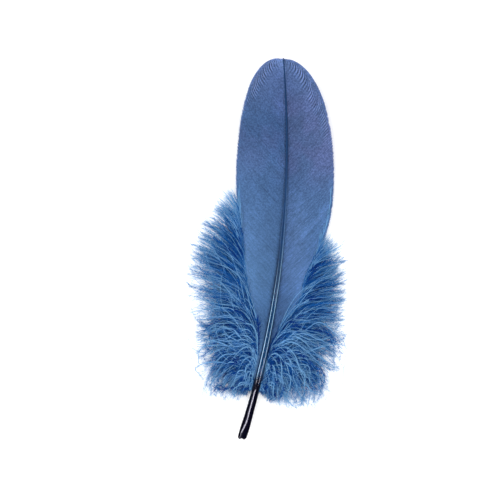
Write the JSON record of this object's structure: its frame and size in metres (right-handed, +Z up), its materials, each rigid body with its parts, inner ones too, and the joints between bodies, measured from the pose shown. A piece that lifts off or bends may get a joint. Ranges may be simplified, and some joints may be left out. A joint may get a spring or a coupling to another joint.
{
  "type": "goose quill feather",
  "caption": "Blue-dyed goose feather lying flat on its back: bare quill, grooved shaft, smooth rounded vanes and loose down at their foot.",
  "frame": {"origin": "bottom centre of the feather's box, on the surface that it lies on", "axes": "+Y from the quill's end to the tip, +X to the right seen from above, +Z up, with the feather's grooved underside up"},
  "size_m": [0.0762, 0.17, 0.0094],
  "materials": {
    "horn": "gloss",
    "web": "satin",
    "fluff": "matte"
  },
  "bodies": {
    "root": {"shaft": "horn", "left_vane": "web", "right_vane": "web", "left_down": "fluff", "right_down": "fluff"}
  },
  "joints": []
}
